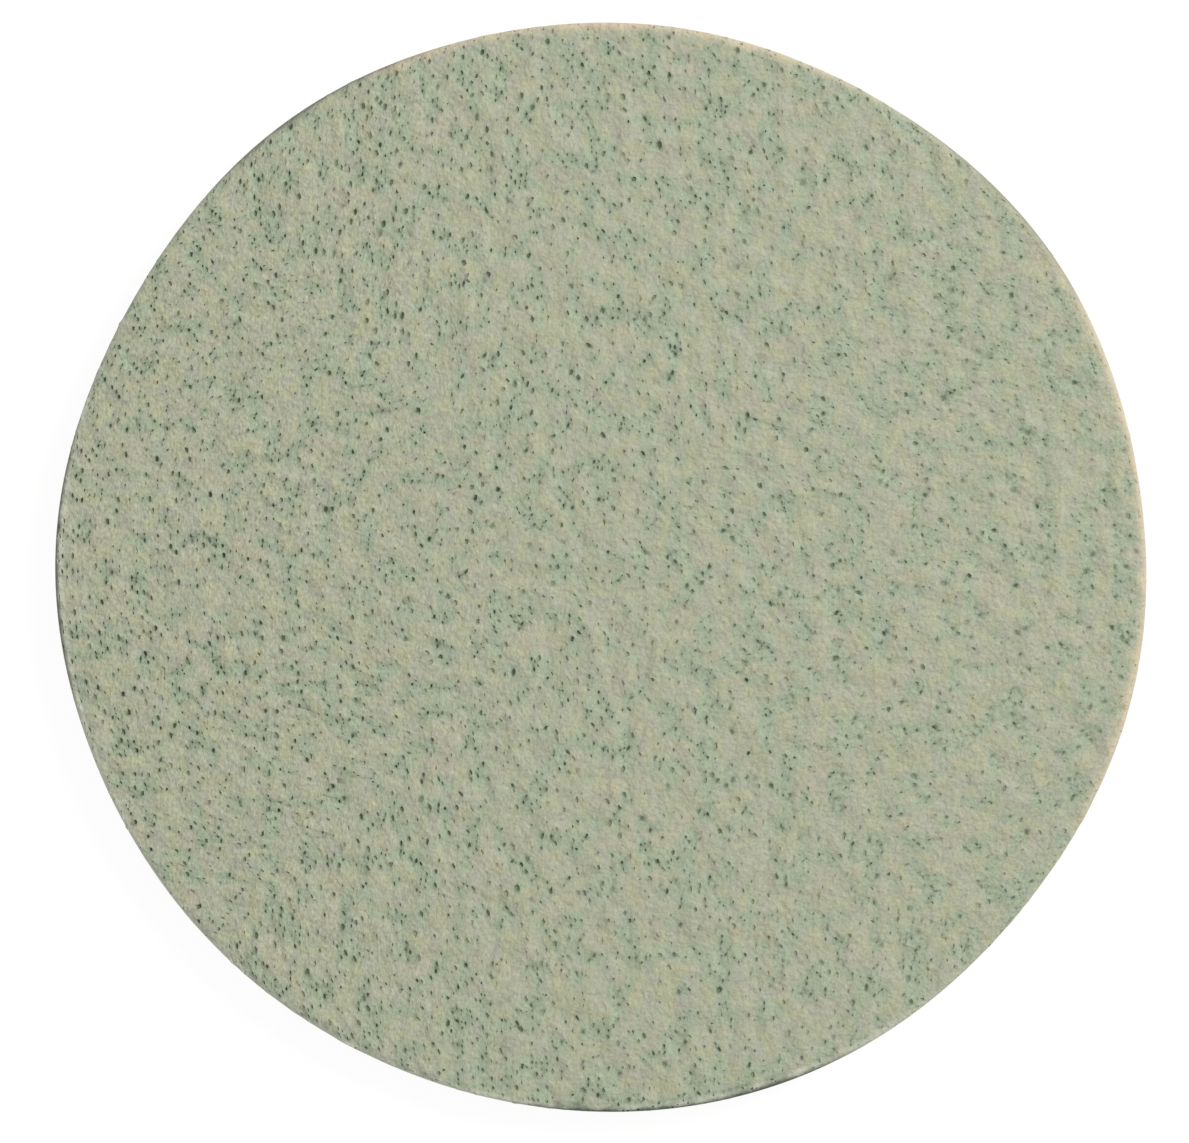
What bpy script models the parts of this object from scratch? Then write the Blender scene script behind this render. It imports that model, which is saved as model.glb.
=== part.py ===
"""Blending disc: a round, flexible finishing pad for a random orbital sander.

Three plies are laminated and then die-cut together: a coated abrasive face whose rim is rolled down
over the core, a soft foam core, and a looped fabric backing that grips the hooks of the sander's pad.
Metres, +Z up. The origin is the centre of the looped side, and the abrasive face looks up.
"""

import math

import bmesh
import bpy

# Driving dimensions

DISC_DIAMETER = 0.150
FACE_THICKNESS = 0.0006
FOAM_THICKNESS = 0.0038
BACKING_THICKNESS = 0.0010

# The adhesive film between two plies, left open between the solids
BOND_GAP = 0.0003

# The foam's upper corner, which the face's rim is bent down over
FOAM_SHOULDER_RADIUS = 0.0005
# How far the cut side of the foam is drawn in halfway up
FOAM_WAIST = 0.0004
# The soft lower corner of the fabric
BACKING_CORNER_RADIUS = 0.0003

# Facets

STEPS_AROUND = 144
RIM_STEPS = 6
WAIST_STEPS = 4
CORNER_STEPS = 2
SHARP_ANGLE = math.radians(40)

# Sizes that follow from these

DISC_RADIUS = DISC_DIAMETER / 2
FOAM_BOTTOM = BACKING_THICKNESS + BOND_GAP
FOAM_TOP = FOAM_BOTTOM + FOAM_THICKNESS
FACE_BOTTOM = FOAM_TOP + BOND_GAP
FACE_TOP = FACE_BOTTOM + FACE_THICKNESS
RIM_INNER_RADIUS = FOAM_SHOULDER_RADIUS + BOND_GAP
RIM_OUTER_RADIUS = RIM_INNER_RADIUS + FACE_THICKNESS
RIM_CENTRE_OUT = DISC_RADIUS - RIM_OUTER_RADIUS
RIM_CENTRE_UP = FACE_TOP - RIM_OUTER_RADIUS


def clear_scene():
    """Removes whatever the scene holds."""
    for obj in list(bpy.data.objects):
        bpy.data.objects.remove(obj, do_unlink=True)


def make_material(name, colour, roughness):
    """A non-metallic material of one colour."""
    material = bpy.data.materials.new(name)
    material.use_nodes = True
    shader = material.node_tree.nodes["Principled BSDF"]
    shader.inputs["Base Color"].default_value = (*colour, 1.0)
    shader.inputs["Roughness"].default_value = roughness
    shader.inputs["Metallic"].default_value = 0.0
    material.diffuse_color = (*colour, 1.0)
    return material


def arc(centre_out, centre_up, radius, start, end, steps):
    """Profile points, as distances from the axis and heights. Angles are in degrees from straight out."""
    points = []
    for step in range(steps + 1):
        angle = math.radians(start + (end - start) * step / steps)
        out = centre_out + radius * math.cos(angle)
        up = centre_up + radius * math.sin(angle)
        points.append((out, up))
    return points


def rim_arc(radius, start, end):
    """An arc about the rim's own centre, which the face and the foam's shoulder share."""
    return arc(RIM_CENTRE_OUT, RIM_CENTRE_UP, radius, start, end, RIM_STEPS)


def turned_ply(name, profile, material):
    """One closed solid, turned from a profile that runs from the axis on top, out and back to the axis."""
    mesh = bpy.data.meshes.new(name)
    solid = bmesh.new()
    corners = [solid.verts.new((out, 0.0, up)) for out, up in profile]
    edges = [solid.edges.new(pair) for pair in zip(corners, corners[1:])]
    bmesh.ops.spin(
        solid,
        geom=corners + edges,
        cent=(0.0, 0.0, 0.0),
        axis=(0.0, 0.0, 1.0),
        angle=math.tau,
        steps=STEPS_AROUND,
        use_merge=True,
    )
    # The profile's ends lie on the axis, so their copies fall on one point each
    bmesh.ops.remove_doubles(solid, verts=solid.verts, dist=1e-6)
    bmesh.ops.recalc_face_normals(solid, faces=solid.faces)
    solid.to_mesh(mesh)
    solid.free()
    mesh.shade_smooth()
    mesh.set_sharp_from_angle(angle=SHARP_ANGLE)
    mesh.materials.append(material)
    ply = bpy.data.objects.new(name, mesh)
    bpy.context.collection.objects.link(ply)
    return ply


def make_abrasive_face():
    """The coated web: flat on top, its rim turned down through a quarter circle."""
    outer = rim_arc(RIM_OUTER_RADIUS, 90, 0)
    inner = rim_arc(RIM_INNER_RADIUS, 0, 90)
    profile = [(0.0, FACE_TOP), *outer, *inner, (0.0, FACE_BOTTOM)]
    sage_resin = make_material("sage_resin", colour=(0.381, 0.407, 0.296), roughness=0.7)
    return turned_ply("abrasive_face", profile, sage_resin)


def make_foam_core():
    """The foam: its shoulder fills the rolled rim, and its cut side is drawn in to a shallow waist."""
    shoulder = rim_arc(FOAM_SHOULDER_RADIUS, 90, 0)
    side_top = RIM_CENTRE_UP - BOND_GAP
    side = []
    for step in range(WAIST_STEPS + 1):
        share = step / WAIST_STEPS
        out = DISC_RADIUS - FOAM_WAIST * math.sin(math.pi * share)
        side.append((out, side_top + (FOAM_BOTTOM - side_top) * share))
    neck = (shoulder[-1][0], side_top)
    profile = [(0.0, FOAM_TOP), *shoulder, neck, *side, (0.0, FOAM_BOTTOM)]
    tan_foam = make_material("tan_foam", colour=(0.58, 0.515, 0.35), roughness=0.9)
    return turned_ply("foam_core", profile, tan_foam)


def make_loop_backing():
    """The looped fabric: a flat ply with a soft lower corner, which the disc lies on."""
    corner = arc(
        DISC_RADIUS - BACKING_CORNER_RADIUS,
        BACKING_CORNER_RADIUS,
        BACKING_CORNER_RADIUS,
        0,
        -90,
        CORNER_STEPS,
    )
    profile = [(0.0, BACKING_THICKNESS), (DISC_RADIUS, BACKING_THICKNESS), *corner, (0.0, 0.0)]
    pale_fabric = make_material("pale_fabric", colour=(0.66, 0.65, 0.6), roughness=0.95)
    return turned_ply("loop_backing", profile, pale_fabric)


clear_scene()
make_loop_backing()
make_foam_core()
make_abrasive_face()
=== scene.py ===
import math
import random

import bmesh
import bpy
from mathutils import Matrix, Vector, kdtree, noise


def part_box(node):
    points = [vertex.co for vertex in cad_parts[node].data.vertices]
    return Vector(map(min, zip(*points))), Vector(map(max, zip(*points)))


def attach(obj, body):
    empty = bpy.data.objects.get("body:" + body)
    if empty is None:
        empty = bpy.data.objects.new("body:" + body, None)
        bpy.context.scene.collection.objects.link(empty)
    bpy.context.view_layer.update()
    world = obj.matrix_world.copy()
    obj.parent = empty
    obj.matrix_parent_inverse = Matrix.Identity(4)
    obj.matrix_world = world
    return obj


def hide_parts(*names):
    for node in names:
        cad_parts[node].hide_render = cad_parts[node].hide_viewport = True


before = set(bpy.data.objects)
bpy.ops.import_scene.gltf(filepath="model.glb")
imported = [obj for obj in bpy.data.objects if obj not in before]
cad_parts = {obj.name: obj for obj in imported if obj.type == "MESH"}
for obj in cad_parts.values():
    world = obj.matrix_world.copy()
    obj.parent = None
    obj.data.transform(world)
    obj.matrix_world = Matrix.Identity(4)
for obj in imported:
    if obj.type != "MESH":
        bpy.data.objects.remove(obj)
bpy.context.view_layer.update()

# Abrasive face
# A flexible web coated with fine mineral in sage-green resin. Gas that leaves the curing resin pocks it with
# thousands of small pits, and the die that cuts the disc out rolls the web's rim down over the foam.

MM = 0.001
face_low, face_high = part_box("abrasive_face")
DISC_RADIUS = face_high.x
FACE_TOP = face_high.z
RIM_BOTTOM = face_low.z
RIM_RADIUS = FACE_TOP - RIM_BOTTOM
FLAT_RADIUS = DISC_RADIUS - RIM_RADIUS
WEB_THICKNESS = 0.6 * MM

# The bonded side lies below the deepest pit
UNDERSIDE = FACE_TOP - 1.05 * MM

# Laid out flat, the web reaches this far from the axis
WEB_RADIUS = FLAT_RADIUS + 1.65 * RIM_RADIUS
FACE_CELLS = 176
CELL = math.sqrt(math.pi) * WEB_RADIUS / FACE_CELLS

# No pit lies further out than this
PITTED_RADIUS = WEB_RADIUS - 0.3 * RIM_RADIUS

# Below 1, the rim's bend is fuller than a quarter circle
RIM_FULLNESS = 0.74

# The cut edge wanders from a true circle in slow waves. Each has how often it comes in a turn, its height in
# millimetres, and the angle of one of its crests in degrees.
EDGE_WAVES = (
    (3, 0.11, 47),
    (4, 0.22, 15),
    (5, 0.12, -26),
    (6, 0.11, -9),
    (7, 0.15, -22),
    (8, 0.11, -9),
)
EDGE_DRAW_IN = 0.05

# The higher this power, the sooner the waves die out towards the axis
WANDER_FADE = 12

# How much wider the grid's cells are at the middle of the disc than if all were alike, as a share
MIDDLE_GAIN = 0.046


def wander(angle):
    """How far the cut edge stands out from its circle at this angle, in metres."""
    total = 0
    for count, height, crest in EDGE_WAVES:
        total += height * math.cos(count * (angle - math.radians(crest)))
    return MM * (total - EDGE_DRAW_IN)


def set_ring(verts, out, up):
    """Puts vertices on the disc's wandering outline, each at its own angle, this far out and this high."""
    for vert in verts:
        angle = math.atan2(vert.co.y, vert.co.x)
        reach = out + wander(angle)
        vert.co = (reach * math.cos(angle), reach * math.sin(angle), up)


def extend_rim(mesh, ring, profile):
    """Extrudes a boundary ring of edges along a profile of (out, up) points, and returns the last ring."""
    for out, up in profile:
        grown = bmesh.ops.extrude_edge_only(mesh, edges=ring)["geom"]
        ring = [item for item in grown if isinstance(item, bmesh.types.BMEdge) and item.is_boundary]
        set_ring({vert for edge in ring for vert in edge.verts}, out, up)
    return ring


def disc_grid(mesh, radius, cells):
    """A square grid bent into a round one, so that no point is a pole. Its cells narrow towards the rim."""
    bmesh.ops.create_grid(mesh, x_segments=cells, y_segments=cells, size=1.0)
    for vert in mesh.verts:
        across, along = vert.co.x, vert.co.y
        if abs(across) > abs(along):
            reach, angle = across, math.pi / 4 * along / across
        elif along:
            reach, angle = along, math.pi / 2 - math.pi / 4 * across / along
        else:
            reach, angle = 0.0, 0.0
        reach *= radius * (1.0 + MIDDLE_GAIN - MIDDLE_GAIN * abs(reach) ** 13)
        vert.co = (reach * math.cos(angle), reach * math.sin(angle), 0.0)


def bend_down(verts):
    """Bends the flat web over its rim, gives it the disc's wandering outline, and adds its relief."""
    for vert in verts:
        reach = vert.co.xy.length
        angle = math.atan2(vert.co.y, vert.co.x)
        turned = max(0.0, min(1.0, (reach - FLAT_RADIUS) / (WEB_RADIUS - FLAT_RADIUS))) * math.pi / 2
        outwards, upwards = math.sin(turned), max(0.0, math.cos(turned))
        lift = vert.co.z + relief(Vector((vert.co.x, vert.co.y, 0.0))) * upwards
        out = min(reach, FLAT_RADIUS) + RIM_RADIUS * outwards ** RIM_FULLNESS + lift * outwards
        up = RIM_BOTTOM + RIM_RADIUS * upwards ** RIM_FULLNESS + lift * upwards
        out += wander(angle) * (reach / WEB_RADIUS) ** WANDER_FADE
        vert.co = (out * math.cos(angle), out * math.sin(angle), up)


def finish_piece(mesh, name, material, sharp=50):
    """Turns a bmesh into an object at the origin that rides on the disc."""
    data = bpy.data.meshes.new(name)
    mesh.to_mesh(data)
    mesh.free()
    data.shade_smooth()
    data.set_sharp_from_angle(angle=math.radians(sharp))
    data.materials.append(material)
    piece = bpy.data.objects.new(name, data)
    bpy.context.scene.collection.objects.link(piece)
    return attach(piece, "root")


SWELL_SIZE = 5.0 * MM
SWELL_HEIGHT = 0.24 * MM
LUMP_SIZE = 2.2 * MM
LUMP_HEIGHT = 0.29 * MM
CRINKLE_SIZE = 1.15 * MM
POOL_SIZE = 2.6 * MM
CROWD_SIZE = 9.0 * MM

# How far the relief is sunk, so that its crowns end near the face's top
RELIEF_DROP = 0.24 * MM


def lumps(place):
    """Soft lumps a few millimetres wide with a finer crinkle over them, about -1 to 1."""
    crinkle = noise.noise(place / CRINKLE_SIZE + Vector((2.0, 9.0, 4.0)))
    return noise.noise(place / LUMP_SIZE + Vector((7.0, 3.0, 1.0))) + 0.75 * crinkle


def relief(place):
    """The web's soft unevenness, in metres: its lumps, on slow swells."""
    return SWELL_HEIGHT * noise.noise(place / SWELL_SIZE) + LUMP_HEIGHT * lumps(place) - RELIEF_DROP


def hollow(place):
    """1 in pools a few millimetres wide where the pits gather and the resin is greener, 0 away from them."""
    pool = noise.noise(place / POOL_SIZE + Vector((5.0, 1.0, 8.0)))
    return min(1.0, max(0.0, 0.45 + 1.1 * pool - 0.5 * lumps(place)))


# How many pits there are, their usual half length and painted shade, and how deep they are, large ones first
PIT_COUNTS = (2350, 3600)
PIT_LENGTHS = (0.53 * MM, 0.39 * MM)
PIT_STRENGTHS = (0.3, 0.24)
PIT_DEPTHS = (1.0, 0.6)
STRONGEST = 0.8

# How readily a pit keeps away from the one beside it, large ones first
PIT_SHYNESS = (0.8, 0.6)

# A pit ends within these shares of the way to the grid's points and to the other pits around it
CORNER_SHARE = 0.8
GAP_SHARE = 0.42

# The size of a pit's floor, as a share of its opening's
PIT_FLOOR = 0.54
PIT_EDGE = 0.02 * MM
UNFOLD_STEPS = 10


def choose_pits(mesh, draw):
    """Picks the grid's points that become pits, large ones first. The disc's left side has more of them."""
    inner = [vert for vert in mesh.verts if not any(edge.is_boundary for edge in vert.link_edges)]
    inner = [vert for vert in inner if vert.co.xy.length < PITTED_RADIUS]
    draw.shuffle(inner)
    taken, groups = set(), []
    for wanted, shy in zip(PIT_COUNTS, PIT_SHYNESS):
        group = []
        for vert in inner:
            if len(group) == wanted:
                break
            beside = any(edge.other_vert(vert) in taken for edge in vert.link_edges)
            crowd = (0.3 + 1.4 * hollow(vert.co)) * (1.0 + 0.6 * noise.noise(vert.co / CROWD_SIZE))
            chance = crowd * (0.30 - 0.12 * vert.co.x / DISC_RADIUS)
            if vert in taken or draw.random() > chance:
                continue
            if beside and draw.random() < shy:
                continue
            taken.add(vert)
            group.append(vert)
        groups.append(group)
    return groups


def oval(spoke, turn, length, slimness):
    """The point on an oval's outline that lies in the direction of a spoke from its centre."""
    angle = math.atan2(spoke.y, spoke.x) - turn
    across = slimness * length
    reach = length * across / math.hypot(across * math.cos(angle), length * math.sin(angle))
    return Vector((reach * math.cos(angle + turn), reach * math.sin(angle + turn), 0.0))


def longest(centre, turn, slimness, around, share):
    """How long an oval can be and still end within this share of the way to each of the points around it."""
    lengths = []
    for point in around:
        spoke = point - centre
        angle = math.atan2(spoke.y, spoke.x) - turn
        lengths.append(spoke.length * math.hypot(slimness * math.cos(angle), math.sin(angle)) / slimness)
    return share * min(lengths)


def open_rings(mesh, groups):
    """Bevels the chosen points into small faces, eight-sided for large pits and four-sided for small ones."""
    openings = []
    for size, verts in enumerate(groups):
        made = bmesh.ops.bevel(
            mesh,
            geom=verts,
            offset=0.12 * CELL,
            offset_type="OFFSET",
            segments=2 - size,
            profile=0.5,
            affect="VERTICES",
            material=-1,
        )
        rings = made["faces"]
        if size == 0:
            rings = bmesh.ops.dissolve_faces(mesh, faces=rings, use_verts=False)["region"]
        openings += [(face, size) for face in rings]
    return openings


def in_turn(verts, centre):
    """Vertices in the order in which they lie round a centre."""
    return sorted(verts, key=lambda vert: math.atan2(vert.co.y - centre.y, vert.co.x - centre.x))


def open_pits(mesh, draw):
    """Opens a ring at each chosen point, shapes it into a pit's lip, and sinks its floor.

    On the left of the disc the pits are upright, slim, deep and dark. Towards the right they turn rounder and
    fainter, and lie in all directions. Close neighbours point at each other, and look like one long pit.
    """
    groups = choose_pits(mesh, draw)
    corners = []
    sites = kdtree.KDTree(sum(PIT_COUNTS))
    for index, vert in enumerate(vert for group in groups for vert in group):
        sites.insert(vert.co, index)
        around = {other for face in vert.link_faces for other in face.verts} - {vert}
        corners.append([other.co.copy() for other in around])
    sites.balance()
    openings = open_rings(mesh, groups)
    # Each pit takes its random draws in the order in which it was chosen
    openings.sort(key=lambda opening: sites.find(opening[0].calc_center_median())[1])
    shape = mesh.verts.layers.float.new("pit")
    strong = mesh.verts.layers.float.new("strength")
    pits = []
    for face, size in openings:
        own, *others = sites.find_n(face.calc_center_median(), 6)
        centre, index = own[:2]
        right = 0.5 + 0.5 * centre.x / DISC_RADIUS
        turn = math.pi / 2 + draw.gauss(0.0, 0.08 + 0.68 * right)
        length = draw.lognormvariate(math.log(PIT_LENGTHS[size]), 0.34) * (1.1 - 0.32 * right)
        slimness = draw.uniform(0.3 + 0.28 * right, 0.52 + 0.4 * right)
        towards = others[0][0] - centre
        joined = towards.length < 1.45 * CELL and abs(towards.y) > (2.2 - 2.1 * right) * abs(towards.x)
        if joined:
            turn = math.atan2(towards.y, towards.x)
            length = CELL
        within_cell = longest(centre, turn, slimness, corners[index], CORNER_SHARE)
        within_gap = longest(centre, turn, slimness, [other[0] for other in others], GAP_SHARE)
        length = min(length, 0.85 * CELL, within_cell, within_gap)
        depth = MM * draw.uniform(0.10, 0.24) * PIT_DEPTHS[size] * (1.2 - 0.62 * right)
        lip = MM * draw.uniform(0.03, 0.12) * (1.0 - 0.7 * right)
        # How strong the shade painted into the pit's hollow is
        strength = draw.lognormvariate(math.log(PIT_STRENGTHS[size]), 0.43) * (1.4 - 0.5 * right)
        strength = min(STRONGEST, strength * (0.65 + 0.7 * hollow(centre)))
        pits.append((face, centre, turn, length, slimness, depth, strength))
        for vert in in_turn(face.verts, centre):
            spoke = vert.co - centre
            vert[strong] = strength
            vert[shape] = 0.85 if joined and spoke.angle(towards) < 0.9 else 0.44
            vert.co = centre + oval(spoke, turn, length, slimness) * draw.uniform(0.7, 1.12)
            vert.co.z += lip
    bmesh.ops.inset_individual(mesh, faces=[pit[0] for pit in pits], thickness=PIT_EDGE)
    for face, centre, turn, length, slimness, depth, strength in pits:
        for vert in face.verts:
            vert.co = centre + oval(vert.co - centre, turn, length, slimness) * PIT_FLOOR
            vert.co.z -= depth
            vert[shape] = 1.0
            vert[strong] = strength
    return [(centre, strength) for face, centre, turn, length, slimness, depth, strength in pits]


def unfold(mesh):
    """Evens out the few places where a pit's lip has folded over the ground beside it."""
    for step in range(UNFOLD_STEPS):
        folded = set()
        for corners in mesh.calc_loop_triangles():
            first, second, third = (corner.vert.co.xy for corner in corners)
            if (second - first).cross(third - first) < 0.0:
                folded.update(corner.vert for corner in corners)
        verts = [vert for vert in mesh.verts if vert in folded and not vert.is_boundary]
        bmesh.ops.smooth_vert(mesh, verts=verts, factor=0.5, use_axis_x=True, use_axis_y=True)


STAIN_SPREAD = 1.5 * MM
STAIN_REACH = 2.6 * MM


def stain_round(mesh, pits):
    """Marks how green the resin is at each point, by the dark pits near it and the pool that it lies in."""
    near = kdtree.KDTree(len(pits))
    for index, (centre, strength) in enumerate(pits):
        near.insert(centre, index)
    near.balance()
    stain = mesh.verts.layers.float.new("stain")
    for vert in mesh.verts:
        flat = Vector((vert.co.x, vert.co.y, 0.0))
        for place, index, distance in near.find_range(flat, STAIN_REACH):
            vert[stain] += min(0.6, pits[index][1]) * math.exp(-((distance / STAIN_SPREAD) ** 2))
        vert[stain] = vert[stain] * (0.5 + 0.32 * vert.co.x / DISC_RADIUS) + 0.9 * hollow(flat)


def scatter(mesh, draw):
    """Moves the grid's points by part of a cell, less and less towards the rim, so that no rows show."""
    for vert in mesh.verts:
        if not vert.is_boundary:
            spot = vert.co / (5 * CELL)
            across = 0.6 * noise.noise(spot) + draw.uniform(-0.23, 0.23)
            along = 0.6 * noise.noise(spot + Vector((31.0, 17.0, 5.0))) + draw.uniform(-0.23, 0.23)
            vert.co.xy += Vector((across, along)) * CELL * (1 - (vert.co.xy.length / WEB_RADIUS) ** 8)


def make_face_mesh():
    """The whole web: its pitted top, the rolled rim, the cut lip and the bonded underside."""
    draw = random.Random(3)
    mesh = bmesh.new()
    disc_grid(mesh, WEB_RADIUS, FACE_CELLS)
    scatter(mesh, draw)
    pits = open_pits(mesh, draw)
    unfold(mesh)
    stain_round(mesh, pits)
    bend_down(mesh.verts)
    lip = 0.08 * MM
    neck = DISC_RADIUS - WEB_THICKNESS
    cut = [(DISC_RADIUS - lip, RIM_BOTTOM - lip), (neck + lip, RIM_BOTTOM - lip), (neck, RIM_BOTTOM)]
    inside = [(neck - 0.25 * MM, UNDERSIDE - 0.08 * MM), (FLAT_RADIUS, UNDERSIDE)]
    ring = [edge for edge in mesh.edges if edge.is_boundary]
    ring = extend_rim(mesh, ring, cut + inside)
    bmesh.ops.edgeloop_fill(mesh, edges=ring)
    bmesh.ops.recalc_face_normals(mesh, faces=mesh.faces)
    return mesh


class Wire:
    """A socket among a material's nodes. Sums and products of wires add Math nodes."""

    def __init__(self, tree, socket=None):
        self.tree = tree
        self.socket = socket

    def node(self, kind, settings=None, sockets=None, output=0):
        """Adds a node: its settings first, then the values or links of its sockets."""
        made = self.tree.nodes.new(kind)
        for name, value in (settings or {}).items():
            setattr(made, name, value)
        for name, value in (sockets or {}).items():
            if isinstance(value, Wire):
                self.tree.links.new(value.socket, made.inputs[name])
            else:
                made.inputs[name].default_value = value
        return Wire(self.tree, made.outputs[output])

    def math(self, operation, other):
        return self.node("ShaderNodeMath", {"operation": operation}, {0: self, 1: other})

    def __add__(self, other):
        return self.math("ADD", other)

    def __sub__(self, other):
        return self.math("SUBTRACT", other)

    def __mul__(self, other):
        return self.math("MULTIPLY", other)

    def __rsub__(self, other):
        return self * -1.0 + other

    __radd__ = __add__
    __rmul__ = __mul__

    def output(self, name):
        """Another output of the node that this wire comes from."""
        return Wire(self.tree, self.socket.node.outputs[name])

    def between(self, low, high):
        """0 below low, 1 above high, and smooth between them."""
        sockets = {0: self, 1: low, 2: high, 3: 0.0, 4: 1.0}
        return self.node("ShaderNodeMapRange", {"interpolation_type": "SMOOTHSTEP"}, sockets)

    def mix(self, first, second):
        """First where this wire is 0, second where it is 1."""
        return self.node("ShaderNodeMix", {"data_type": "RGBA"}, {0: self, 6: first, 7: second}, output=2)

    def grain(self, size, detail=2.0, rough=0.5):
        """Noise whose features are about this size, in metres, where this wire is a place."""
        sockets = {"Vector": self, "Scale": 1.0 / size, "Detail": detail, "Roughness": rough}
        return self.node("ShaderNodeTexNoise", {}, sockets)

    def dots(self, size, chance):
        """Small scattered dots, 1 at their middles. Chance is the share of cells that hold one."""
        sockets = {"Vector": self, "Scale": 1.0 / size}
        cell = self.node("ShaderNodeTexVoronoi", {"feature": "F1"}, sockets, output="Distance")
        draw = cell.node("ShaderNodeSeparateColor", {}, {0: cell.output("Color")}, output="Red")
        return (1.0 - cell.between(0.06, 0.45)) * draw.between(1.0 - 1.4 * chance, 1.0 - 0.4 * chance)

    def vector(self, operation, sockets, output=0):
        """A Vector Math node, with this wire as its first vector."""
        return self.node("ShaderNodeVectorMath", {"operation": operation}, {0: self, **sockets}, output)

    def stretched(self, across, along, up):
        """A place multiplied along each axis."""
        return self.vector("MULTIPLY", {1: (across, along, up)})


def srgb(red, green, blue):
    """A colour as the eye reads it on a screen, 0 to 255, as the linear one that a shader takes."""
    shares = (value / 255 for value in (red, green, blue))
    return tuple(s / 12.92 if s <= 0.04045 else ((s + 0.055) / 1.055) ** 2.4 for s in shares) + (1.0,)


def new_finish(name, roughness, specular=0.3, sheen=0.0):
    """A material, its shader, and the wire that holds each point's place on the piece."""
    material = bpy.data.materials.new(name)
    material.use_nodes = True
    shader = material.node_tree.nodes["Principled BSDF"]
    shader.inputs["Roughness"].default_value = roughness
    shader.inputs["Specular IOR Level"].default_value = specular
    shader.inputs["Sheen Weight"].default_value = sheen
    place = Wire(material.node_tree).node("ShaderNodeTexCoord", output="Object")
    return material, shader, place


def wear(shader, colour, height, depth):
    """Feeds a shader its varying colour, and a bump as deep as this, in metres."""
    colour.tree.links.new(colour.socket, shader.inputs["Base Color"])
    bump = height.node("ShaderNodeBump", {}, {"Strength": 1.0, "Distance": depth, "Height": height})
    bump.tree.links.new(bump.socket, shader.inputs["Normal"])


# The sizes of what the resin's colour and bump are made of
STREAK_SIZE = 0.17 * MM
CRUMB_SIZE = 0.26 * MM
SPECK_SIZE = 0.5 * MM
UPRIGHT_SPECK_SIZE = 0.36 * MM
PRICK_SIZE = 0.68 * MM
UPRIGHT_PRICK_SIZE = 0.54 * MM
SHAKE_SIZE = 0.3 * MM
SHAKE_REACH = 0.35 * MM
BUMP_SIZE = 0.8 * MM
BUMP_DEPTH = 0.14 * MM
MOTTLE_SIZE = 1.3 * MM
PATCH_SIZE = 2.6 * MM
BEIGE_SIZE = 6.5 * MM

SAGE = srgb(174, 177, 157)
SAGE_GREEN = srgb(163, 178, 154)
KHAKI = srgb(177, 179, 150)
BEIGE = srgb(182, 177, 158)
# Painted shade: the dark green laid into the pits, the pin pricks and the streaks between them
PIT_SHADE = srgb(62, 80, 54)
# Painted highlight on the rim's side towards the lamp
RIM_HIGHLIGHT_TAN = srgb(206, 192, 166)
# Painted light on the rim's side away from the lamp
RIM_PAINTED_LIGHT = srgb(213, 216, 197)
# Painted shade on the rim's cut lip
RIM_SHADE = srgb(96, 104, 90)

# Where the rim is painted: a tan highlight towards the lamp, shade low on the cut lip, and light on the
# shaded side.
# Each place has its direction from the axis and its reach to either side, in degrees, and its strength.
PAINTED_HIGHLIGHT = ((0, 40, 1.0), (60, 34, 0.4), (92, 32, 1.0))
LIP_SHADE = ((122, 16, 0.8), (180, 18, 0.85), (279, 21, 1.15), (42, 16, 0.5))
SHADED_SIDE = ((228, 108, 0.9),)


def facing(heading, places):
    """How strongly a heading from the axis lies in these places on the rim. Each fades to its sides."""
    parts = []
    for towards, spread, strength in places:
        angle = math.radians(towards)
        way = (math.cos(angle), math.sin(angle), 0.0)
        along = heading.vector("DOT_PRODUCT", {1: way}, output="Value")
        near = along.between(math.cos(math.radians(spread)), math.cos(math.radians(spread * 0.35)))
        parts.append(near * strength)
    return sum(parts)


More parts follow.
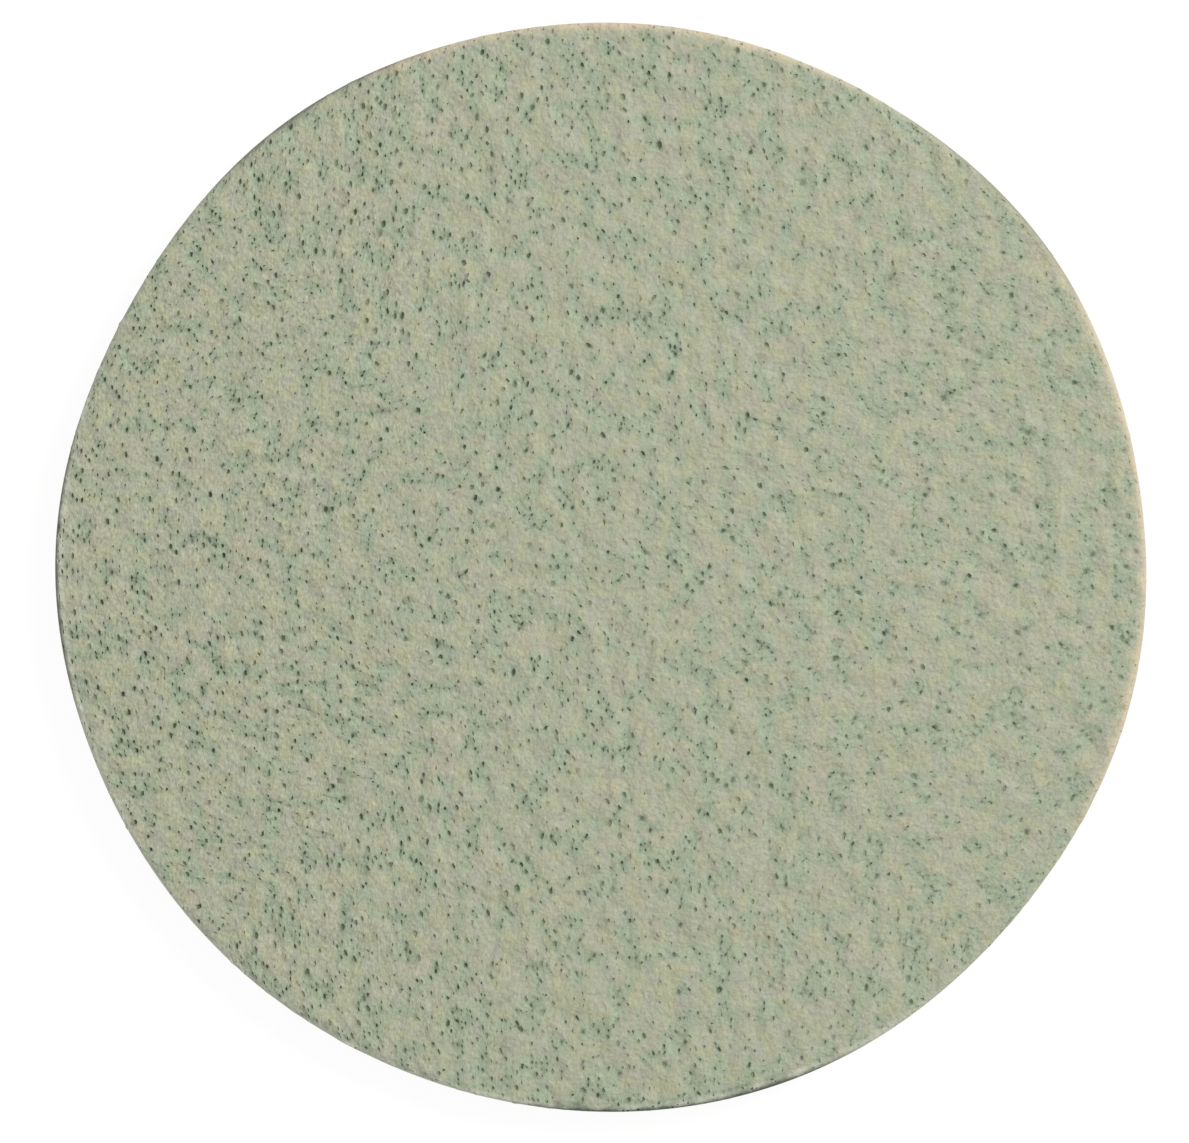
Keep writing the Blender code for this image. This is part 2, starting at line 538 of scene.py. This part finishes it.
class Resin:
    """The sage resin's material, and the patterns that its colour and its bump share."""

    def __init__(self):
        self.material, self.shader, self.place = new_finish("sage_resin", roughness=0.78, specular=0.25)
        self.axes = self.place.node("ShaderNodeSeparateXYZ", {}, {0: self.place}, output="X")
        self.right = self.axes.between(-0.6 * DISC_RADIUS, 0.7 * DISC_RADIUS)
        streak = self.place.stretched(1.0, 0.32, 1.0).grain(STREAK_SIZE, 2.0, 0.6)
        self.fine = self.right.mix(streak, self.place.grain(CRUMB_SIZE, 2.0, 0.6))
        upright = self.place.stretched(1.0, 0.5, 1.0).grain(UPRIGHT_SPECK_SIZE, 1.0)
        self.speck = self.right.mix(upright, self.place.grain(SPECK_SIZE, 1.0))
        self.patch = self.place.grain(PATCH_SIZE, 1.0, 0.4)
        greened = self.marked("stain") + (self.patch - 0.5) * 1.0 + (self.fine - 0.5) * 0.3
        self.greened = greened.between(0.55, 1.17)

    def marked(self, name):
        """One of the values that the mesh holds at its points."""
        return self.place.node("ShaderNodeAttribute", {"attribute_name": name}, output="Fac")

    def ground(self):
        """Patches of sage, khaki and beige, greener round the pits, with fine streaks on the left."""
        beige = self.place.grain(BEIGE_SIZE, 2.0, 0.5)
        colour = self.patch.between(0.36, 0.64).mix(SAGE, KHAKI)
        colour = (beige.between(0.48, 0.7) * 0.4).mix(colour, BEIGE)
        colour = (self.greened * 0.66).mix(colour, SAGE_GREEN)
        mottle = self.place.grain(MOTTLE_SIZE, 2.0, 0.6)
        shade = ((self.fine - 0.5) * 0.7 + (self.speck - 0.5) * 0.4) * (1.2 - 0.5 * self.right)
        shade = shade + (mottle - 0.5) * 0.25 + 1.0
        return colour.vector("SCALE", {"Scale": shade})

    def pitted(self, colour):
        """The ground with painted shade in streaks, in pin pricks between the pits, and in the modelled pits.
        """
        sockets = {"Vector": self.place, "Scale": 1.0 / SHAKE_SIZE}
        shake = self.place.node("ShaderNodeTexNoise", {}, sockets, output="Color")
        shaken = shake.vector("MULTIPLY_ADD", {1: (SHAKE_REACH,) * 3, 2: self.place})
        upright = shaken.stretched(1.0, 0.34, 1.0).dots(UPRIGHT_PRICK_SIZE, 0.6)
        dots = self.right.mix(upright, shaken.dots(PRICK_SIZE, 0.5))
        # Painted shade in streaks across the greener patches, like pits run together
        shade_streak = self.speck.between(0.55, 0.72) * self.greened * 0.3
        colour = shade_streak.mix(colour, PIT_SHADE)
        dots = dots * (self.greened * 0.5 + 0.5)
        # Painted shade in pin pricks, small pits that have no hollow of their own
        colour = (dots * (0.46 - 0.1 * self.right)).mix(colour, PIT_SHADE)
        # Painted shade in the modelled pits' hollows, as strong as each pit's strength
        pit = self.marked("pit")
        ragged = (pit + (self.fine - 0.5) * 1.7 * pit.between(0.0, 0.3)).between(0.05, 1.0)
        return (ragged * self.marked("strength")).mix(colour, PIT_SHADE)

    def rimmed(self, colour):
        """The same with light and shade painted on its rim: a tan highlight at the top and the right, lighter
        paint on the shaded side, and shade on the cut lip in places.
        """
        flat = self.place.stretched(1.0, 1.0, 0.0)
        heading = flat.vector("NORMALIZE", {})
        out = flat.vector("LENGTH", {}, output="Value")
        rim = out + (self.patch - 0.5) * 1.6 * MM + (self.fine - 0.5) * 2.4 * MM
        rim = rim.between(DISC_RADIUS - 1.9 * MM, DISC_RADIUS)
        # Painted highlight: tan and lighter on the rim's side towards the lamp
        colour = (rim * facing(heading, PAINTED_HIGHLIGHT).between(0.0, 1.0) * 0.9).mix(colour, RIM_HIGHLIGHT_TAN)
        low = 1.0 - self.axes.output("Z").between(RIM_BOTTOM + 0.6 * MM, RIM_BOTTOM + 1.3 * MM)
        lip = low * out.between(FLAT_RADIUS, DISC_RADIUS - MM)
        # Painted shade: dark low on the rim's cut lip, in these places
        lip_shade = lip * facing(heading, LIP_SHADE)
        # Painted light: the rim's side away from the lamp is painted paler, to lighten its shade
        painted_light = out.between(DISC_RADIUS - 1.3 * MM, DISC_RADIUS - 0.3 * MM) * facing(heading, SHADED_SIDE)
        colour = (painted_light * (1.0 - lip_shade)).mix(colour, RIM_PAINTED_LIGHT)
        return (lip_shade * (self.fine + 0.4)).mix(colour, RIM_SHADE)


def sage_finish():
    """Matt resin, with painted shade in its pits and a painted tan highlight on the rim's side towards the
    lamp.
    """
    resin = Resin()
    height = resin.speck * (0.5 - 0.2 * resin.right) + resin.place.grain(BUMP_SIZE, 1.0) * 1.8
    wear(resin.shader, resin.rimmed(resin.pitted(resin.ground())), height, BUMP_DEPTH)
    return resin.material


face = finish_piece(make_face_mesh(), "pitted_abrasive_face", sage_finish())
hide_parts("abrasive_face")

# Foam core
# Soft open-celled foam, tan, which lets the web follow a curved panel. The die squeezes it as it cuts, so its
# side springs back a little hollow, with the cut cells standing open.

back_low, back_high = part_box("loop_backing")
FILM = 0.02 * MM
WEB_GAP = 0.06 * MM
ROOF_GAP = 0.05 * MM
FOAM_BOTTOM = back_high.z + FILM
FOAM_TOP = RIM_BOTTOM - 0.14 * MM
FOAM_WAIST = 0.4 * MM
FOAM_STEPS = 2600
FOAM_ROWS = 24
FOAM_CELL = 0.55 * MM
PORE_SIZE = 0.3 * MM
PORE_DEPTH = 0.05 * MM

# How deep the open cells and the slow unevenness under them are, in millimetres
CELL_DEPTH = 0.26
UNEVEN_HEIGHT = 0.1
UNEVEN_SIZE = 4.0 * MM
TONE_SIZE = 7.0 * MM
FOAM_TAN = srgb(214, 200, 167)
FOAM_SHADE = srgb(172, 155, 121)


def cells(place):
    """How far a point lies inside an open cell: 0 on the walls between cells, 1 in a cell's middle."""
    distances = noise.voronoi(place / FOAM_CELL)[0]
    return min(1.0, max(0.0, (distances[1] - distances[0]) * 1.9 - 0.12))


def make_foam_mesh():
    """The foam's side wall, waisted and pocked by its cells, closed above and below."""
    mesh = bmesh.new()
    bmesh.ops.create_circle(mesh, segments=FOAM_STEPS, radius=DISC_RADIUS)
    side = []
    for row in range(FOAM_ROWS + 1):
        share = row / FOAM_ROWS
        waist = FOAM_WAIST * math.sin(math.pi * share)
        side.append((DISC_RADIUS - waist, FOAM_TOP + (FOAM_BOTTOM - FOAM_TOP) * share))
    web_inside = DISC_RADIUS - WEB_THICKNESS - WEB_GAP
    roof = [(web_inside, RIM_BOTTOM + FILM), (web_inside, FOAM_TOP + FILM)]
    set_ring(mesh.verts, FLAT_RADIUS, UNDERSIDE - ROOF_GAP)
    ring = list(mesh.edges)
    bmesh.ops.edgeloop_fill(mesh, edges=ring)
    ring = extend_rim(mesh, ring, roof + side)
    bmesh.ops.edgeloop_fill(mesh, edges=ring)
    opened = mesh.verts.layers.float.new("opened")
    for vert in mesh.verts:
        if FOAM_BOTTOM < vert.co.z < FOAM_TOP + 0.5 * FILM:
            vert[opened] = cells(vert.co)
            depth = CELL_DEPTH * vert[opened] + UNEVEN_HEIGHT * noise.noise(vert.co / UNEVEN_SIZE)
            vert.co.xy *= 1.0 - depth * MM / vert.co.xy.length
    bmesh.ops.recalc_face_normals(mesh, faces=mesh.faces)
    return mesh


def foam_finish():
    """Matt foam, darker in its open cells."""
    material, shader, place = new_finish("tan_foam", roughness=0.95, specular=0.1)
    opened = place.node("ShaderNodeAttribute", {"attribute_name": "opened"}, output="Fac")
    pore = place.node("ShaderNodeTexVoronoi", {"feature": "F1"}, {"Vector": place, "Scale": 1.0 / PORE_SIZE})
    tone = place.grain(TONE_SIZE, 2.0, 0.5)
    colour = (opened.between(0.0, 1.0) * 0.7).mix(FOAM_TAN, FOAM_SHADE)
    colour = (tone.between(0.3, 0.7) * 0.15).mix(colour, FOAM_SHADE)
    wear(shader, colour, pore, PORE_DEPTH)
    return material


foam = finish_piece(make_foam_mesh(), "open_cell_foam", foam_finish(), sharp=80)
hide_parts("foam_core")

# Loop backing
# A warp-knitted nylon fabric, bonded under the foam. Its ground is thin and ribbed, and its pile yarns rise
# from it in rows of small loops, which the hooks of the sander's pad catch.

GROUND_BOTTOM = back_high.z - 0.45 * MM
GROUND_CELLS = 96
SOFT_EDGE = 0.25 * MM
SOFT_CORNER = 0.05 * MM
RIB_PITCH = 3.3 * MM
FUZZ_SIZE = 0.25 * MM
KNIT_DEPTH = 0.1 * MM
ROW_PITCH = 1.12 * MM
LOOP_PITCH = 1.12 * MM
YARN_RADIUS = 0.11 * MM
LOOP_POINTS = 5
LOOP_LEAN = 0.5 * MM
PILE_MARGIN = 0.5 * MM

# How far the feet of each loop reach up into the ground
LOOP_ROOT = 0.1 * MM
FABRIC = srgb(222, 219, 209)
FABRIC_SHADE = srgb(172, 168, 156)
PILE = ("loop_pile_first", "loop_pile_second", "loop_pile_third")


def make_ground_mesh():
    """The knitted ground: a thin disc with a soft cut edge."""
    mesh = bmesh.new()
    disc_grid(mesh, DISC_RADIUS - SOFT_EDGE, GROUND_CELLS)
    for vert in mesh.verts:
        vert.co.z = back_high.z
    ring = [edge for edge in mesh.edges if edge.is_boundary]
    set_ring([vert for vert in mesh.verts if vert.is_boundary], DISC_RADIUS - SOFT_EDGE, back_high.z)
    side = [
        (DISC_RADIUS - SOFT_CORNER, back_high.z - SOFT_CORNER),
        (DISC_RADIUS, back_high.z - 0.2 * MM),
        (DISC_RADIUS - SOFT_CORNER, GROUND_BOTTOM + SOFT_CORNER),
        (DISC_RADIUS - SOFT_EDGE, GROUND_BOTTOM),
    ]
    ring = extend_rim(mesh, ring, side)
    bmesh.ops.edgeloop_fill(mesh, edges=ring)
    bmesh.ops.recalc_face_normals(mesh, faces=mesh.faces)
    return mesh


def fabric_finish():
    """Pale nylon with the ribs of its knit."""
    material, shader, place = new_finish("pale_fabric", roughness=0.85, specular=0.2, sheen=0.2)
    wave = {"Vector": place, "Scale": 1.0 / RIB_PITCH, "Distortion": 1.2, "Detail": 1.0, "Detail Scale": 3.0}
    rib = place.node("ShaderNodeTexWave", {"bands_direction": "X"}, wave, output="Fac")
    fuzz = place.grain(FUZZ_SIZE, 3.0, 0.6)
    colour = (rib * 0.4 + fuzz * 0.6).between(0.25, 0.8).mix(FABRIC_SHADE, FABRIC)
    wear(shader, colour, rib + fuzz * 0.6, KNIT_DEPTH)
    return material


def row_of_loops(across, loops, draw):
    """The points of one yarn that hangs from the ground in loops, no two of them quite alike."""
    points = []
    for loop in range(loops):
        middle = (loop + 0.5 - loops / 2) * LOOP_PITCH + draw.uniform(-0.2, 0.2) * LOOP_PITCH
        tall = draw.uniform(0.72, 1.0) * (GROUND_BOTTOM - YARN_RADIUS) + LOOP_ROOT
        lean = draw.uniform(-1.0, 1.0) * LOOP_LEAN
        wide = draw.uniform(0.42, 0.62) * LOOP_PITCH
        for step in range(LOOP_POINTS):
            angle = math.pi * (0.1 + 0.8 * step / (LOOP_POINTS - 1))
            down = math.sin(angle)
            along = middle - wide * math.cos(angle)
            points.append((across + lean * down, along, GROUND_BOTTOM + LOOP_ROOT - tall * down))
    return points


def loop_rows(name, first, material):
    """Every third row of the pile. Each row is one yarn that loops down and back across the disc."""
    draw = random.Random(11 + first)
    curve = bpy.data.curves.new(name, "CURVE")
    curve.dimensions = "3D"
    curve.bevel_depth = YARN_RADIUS
    curve.bevel_resolution = 0
    curve.use_fill_caps = True
    rows = int(DISC_RADIUS / ROW_PITCH)
    for row in range(first - rows, rows + 1, len(PILE)):
        across = row * ROW_PITCH
        reach = math.sqrt(max(0.0, (DISC_RADIUS - PILE_MARGIN) ** 2 - across ** 2))
        points = row_of_loops(across, int(2 * reach / LOOP_PITCH), draw)
        spline = curve.splines.new("POLY")
        spline.points.add(len(points) - 1)
        for point, place in zip(spline.points, points):
            point.co = (*place, 1.0)
    pile = bpy.data.objects.new(name, curve)
    curve.materials.append(material)
    bpy.context.scene.collection.objects.link(pile)
    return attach(pile, "root")


pale_fabric = fabric_finish()
ground = finish_piece(make_ground_mesh(), "knitted_ground", pale_fabric)
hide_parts("loop_backing")
pile_rows = [loop_rows(name, first, pale_fabric) for first, name in enumerate(PILE)]

# Studio
# A pale floor under the disc, one large soft lamp at the upper right of the view, an even white surround, and
# a camera with a long lens that looks straight down.

PHOTO_WIDTH_PX = 1189
PHOTO_HEIGHT_PX = 1143
DISC_WIDTH_PX = 1088.8
DISC_CENTRE_PX = (602.9, 566.5)
LENS_MM = 120.0
SENSOR_MM = 36.0
WORLD_LIGHT = 0.5
LAMP_PLACE = Vector((1.06, 0.78, 1.18))
LAMP_POWER = 22.8
LAMP_SIZE = 0.65
LAMP_COLOUR = (1.0, 0.99, 0.975)
FLOOR_HALF_WIDTH = 3.0
FLOOR_GREY = 0.8
FLOOR_SEEN_GREY = 0.08
FLOOR_SEEN_GLOW = 0.94


def make_camera():
    """Looks down with the disc as large and as far off centre as the photograph has it."""
    data = bpy.data.cameras.new("camera")
    data.lens = LENS_MM
    data.sensor_width = SENSOR_MM
    pixel = 2 * DISC_RADIUS / DISC_WIDTH_PX
    distance = PHOTO_WIDTH_PX * pixel * LENS_MM / SENSOR_MM
    camera = bpy.data.objects.new("camera", data)
    camera.location = (
        (PHOTO_WIDTH_PX / 2 - DISC_CENTRE_PX[0]) * pixel,
        (DISC_CENTRE_PX[1] - PHOTO_HEIGHT_PX / 2) * pixel,
        RIM_BOTTOM + distance,
    )
    bpy.context.scene.collection.objects.link(camera)
    bpy.context.scene.camera = camera


def make_lamp():
    """A square soft box aimed at the disc."""
    data = bpy.data.lights.new("soft_box", "AREA")
    data.energy = LAMP_POWER
    data.size = LAMP_SIZE
    data.color = LAMP_COLOUR
    lamp = bpy.data.objects.new("soft_box", data)
    lamp.visible_camera = False
    lamp.location = LAMP_PLACE
    lamp.rotation_mode = "QUATERNION"
    lamp.rotation_quaternion = LAMP_PLACE.to_track_quat("Z", "Y")
    bpy.context.scene.collection.objects.link(lamp)


def white_rays(tree):
    """1 for the rays that show the background: the camera's own, and those in gloss and glass."""
    paths = tree.nodes.new("ShaderNodeLightPath")
    seen = Wire(tree, paths.outputs["Is Camera Ray"]) + Wire(tree, paths.outputs["Is Glossy Ray"])
    return (seen + Wire(tree, paths.outputs["Is Transmission Ray"])).between(0.0, 1.0)


def make_surround():
    """A world that lights evenly, and looks white to the camera and in reflections."""
    world = bpy.data.worlds.new("surround")
    world.use_nodes = True
    tree = world.node_tree
    strength = white_rays(tree) * (1.0 - WORLD_LIGHT) + WORLD_LIGHT
    background = tree.nodes["Background"]
    background.inputs["Color"].default_value = (1.0, 1.0, 1.0, 1.0)
    tree.links.new(strength.socket, background.inputs["Strength"])
    bpy.context.scene.world = world


def grey(value):
    """A grey, or white at 1, as a colour."""
    return (value, value, value, 1.0)


def make_floor():
    """A wide pale floor, which the camera sees as white but for the disc's own shadow."""
    mesh = bmesh.new()
    bmesh.ops.create_grid(mesh, x_segments=8, y_segments=8, size=FLOOR_HALF_WIDTH)
    data = bpy.data.meshes.new("floor")
    mesh.to_mesh(data)
    mesh.free()
    material = bpy.data.materials.new("pale_floor")
    material.use_nodes = True
    tree = material.node_tree
    shader = tree.nodes["Principled BSDF"]
    shader.inputs["Roughness"].default_value = 1.0
    shader.inputs["Specular IOR Level"].default_value = 0.0
    shader.inputs["Emission Strength"].default_value = 1.0
    seen = white_rays(tree)
    colour = seen.mix(grey(FLOOR_GREY), grey(FLOOR_SEEN_GREY))
    tree.links.new(colour.socket, shader.inputs["Base Color"])
    glow = seen.mix(grey(0.0), grey(FLOOR_SEEN_GLOW))
    tree.links.new(glow.socket, shader.inputs["Emission Color"])
    data.materials.append(material)
    floor = bpy.data.objects.new("floor", data)
    bpy.context.scene.collection.objects.link(floor)


make_camera()
make_lamp()
make_surround()
make_floor()
bpy.context.scene.view_settings.view_transform = "Standard"
